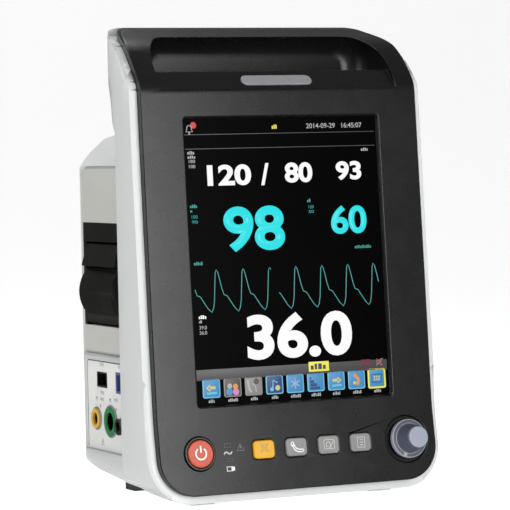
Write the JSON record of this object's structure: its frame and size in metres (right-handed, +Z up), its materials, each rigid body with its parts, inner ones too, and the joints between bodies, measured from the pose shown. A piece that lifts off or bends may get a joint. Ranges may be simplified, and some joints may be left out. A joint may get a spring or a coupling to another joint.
{
  "type": "patient monitor",
  "caption": "Upright bedside patient monitor with a tall screen, push keys, a push-and-turn knob, a carrying handle and a side paper recorder.",
  "frame": {"origin": "middle of the footprint at the underside of the feet", "axes": "+Z up; the screen faces -Y; +X is to the right for someone facing the screen"},
  "size_m": [0.191, 0.139, 0.279],
  "materials": {
    "case_white": "satin moulded shell",
    "bezel_black": "satin black moulding",
    "cover_glass": "hard-coated clear",
    "display": "lit colour screen",
    "bracket_steel": "zinc plated sheet",
    "alarm_lens": "frosted lens",
    "circuit_board": "solder mask",
    "power_red": "translucent red with a pale symbol",
    "ring_black": "polished black",
    "key_yellow": "silicone key",
    "key_grey": "silicone key",
    "indicator_clear": "smoked light window",
    "encoder_metal": "plated",
    "rotor_black": "moulded",
    "knob_slate": "satin slate",
    "knob_cap_grey": "satin blue-grey",
    "panel_grey": "fine grain",
    "recorder_black": "fine grain",
    "socket_black": "moulded",
    "socket_blue": "moulded",
    "socket_yellow": "moulded",
    "socket_green": "moulded",
    "plated_brass": "nickel plated",
    "brass": "turned",
    "gear_nylon": "natural nylon",
    "roller_rubber": "ground rubber",
    "shaft_steel": "ground",
    "paper": "thermal paper",
    "heat_sink": "extruded",
    "battery_blue": "shrink sleeve",
    "silicone": "clear silicone",
    "foot_rubber": "moulded rubber",
    "screw_steel": "zinc plated",
    "motor_metal": "plated can"
  },
  "bodies": {
    "case": {"air_tube": "silicone", "alarm_lens": "alarm_lens", "alarm_light_board": "circuit_board", "battery_cover": "case_white", "battery_pack": "battery_blue", "board_standoffs": "plated_brass", "case_screws": "screw_steel", "chassis": "bracket_steel", "connector_panel": "panel_grey", "data_ports": "plated_brass", "display_bracket": "bracket_steel", "display_panel": "display", "display_window": "cover_glass", "earth_stud": "plated_brass", "ecg_socket": "socket_green", "encoder_body": "encoder_metal", "front_bezel": "bezel_black", "front_housing": "case_white", "indicator_windows": "indicator_clear", "key_board": "circuit_board", "key_switches": "rotor_black", "main_board": "circuit_board", "mains_inlet": "socket_black", "module_panel": "panel_grey", "mount_inserts": "brass", "nibp_connector": "plated_brass", "nibp_pump": "motor_metal", "nibp_valve": "motor_metal", "power_button_ring": "ring_black", "power_supply": "circuit_board", "print_head": "heat_sink", "probe_socket": "socket_yellow", "rear_housing": "case_white", "recorder_frame": "recorder_black", "recorder_motor": "motor_metal", "recorder_pins": "shaft_steel", "rubber_feet": "foot_rubber", "socket_board": "circuit_board", "speaker": "rotor_black", "spo2_socket": "socket_blue", "temp_socket": "socket_black"},
    "power_button": {"power_button": "power_red"},
    "alarm_silence_key": {"alarm_silence_key": "key_yellow"},
    "cuff_key": {"cuff_key": "key_grey"},
    "alarm_reset_key": {"alarm_reset_key": "key_grey"},
    "record_key": {"record_key": "key_grey"},
    "knob_rotor": {"encoder_rotor": "rotor_black"},
    "knob": {"knob": "knob_slate", "knob_cap": "knob_cap_grey", "encoder_shaft": "shaft_steel"},
    "platen": {"platen_roller": "roller_rubber", "platen_shaft": "shaft_steel", "platen_gear": "gear_nylon"},
    "idler": {"idler_gear": "gear_nylon"},
    "pinion": {"motor_pinion": "brass", "motor_shaft": "shaft_steel"},
    "paper": {"paper_roll": "paper", "paper_spindle": "rotor_black"},
    "door": {"recorder_door": "recorder_black"},
    "lever": {"release_lever": "recorder_black"}
  },
  "joints": [
    {"name": "power_button_press", "type": "slide", "parent": "case", "child": "power_button", "axis": [0, 0.9863, -0.165], "range_m": [0, 0.0008], "stiffness_N_per_m": 1500, "springref_m": -0.0006},
    {"name": "alarm_silence_key_press", "type": "slide", "parent": "case", "child": "alarm_silence_key", "axis": [0, 0.9863, -0.165], "range_m": [0, 0.0008], "stiffness_N_per_m": 1500, "springref_m": -0.0006},
    {"name": "cuff_key_press", "type": "slide", "parent": "case", "child": "cuff_key", "axis": [0, 0.9863, -0.165], "range_m": [0, 0.0008], "stiffness_N_per_m": 1500, "springref_m": -0.0006},
    {"name": "alarm_reset_key_press", "type": "slide", "parent": "case", "child": "alarm_reset_key", "axis": [0, 0.9863, -0.165], "range_m": [0, 0.0008], "stiffness_N_per_m": 1500, "springref_m": -0.0006},
    {"name": "record_key_press", "type": "slide", "parent": "case", "child": "record_key", "axis": [0, 0.9863, -0.165], "range_m": [0, 0.0008], "stiffness_N_per_m": 1500, "springref_m": -0.0006},
    {"name": "knob_turn", "type": "hinge", "parent": "case", "child": "knob_rotor", "pos_m": [0.0705, -0.05321, 0.031], "axis": [0, -0.9863, 0.165], "continuous": true},
    {"name": "knob_press", "type": "slide", "parent": "knob_rotor", "child": "knob", "axis": [0, 0.9863, -0.165], "range_m": [0, 0.0006], "stiffness_N_per_m": 3000, "springref_m": -0.0006},
    {"name": "paper_roll_spin", "type": "hinge", "parent": "case", "child": "paper", "pos_m": [-0.069, 0.03153, 0.122], "axis": [0, 1, 0], "continuous": true},
    {"name": "platen_spin", "type": "hinge", "parent": "case", "child": "platen", "pos_m": [-0.076, 0.03153, 0.142], "axis": [0, 1, 0], "continuous": true},
    {"name": "idler_spin", "type": "hinge", "parent": "case", "child": "idler", "pos_m": [-0.06711, 0.05353, 0.14373], "axis": [0, 1, 0], "continuous": true},
    {"name": "pinion_spin", "type": "hinge", "parent": "case", "child": "pinion", "pos_m": [-0.06018, 0.05353, 0.14508], "axis": [0, 1, 0], "continuous": true},
    {"name": "door_swing", "type": "hinge", "parent": "case", "child": "door", "pos_m": [-0.0855, 0.03228, 0.1045], "axis": [0, -1, 0], "range_deg": [0, 80]},
    {"name": "lever_pull", "type": "hinge", "parent": "case", "child": "lever", "pos_m": [-0.0846, 0.03228, 0.1486], "axis": [0, 1, 0], "range_deg": [0, 25], "stiffness_Nm_per_rad": 0.05, "springref_deg": -11.46}
  ],
  "couplings": [
    {"joint": "platen_spin", "follows": "paper_roll_spin", "ratio": -3.75},
    {"joint": "idler_spin", "follows": "paper_roll_spin", "ratio": 4.6875},
    {"joint": "pinion_spin", "follows": "paper_roll_spin", "ratio": -6.25}
  ]
}
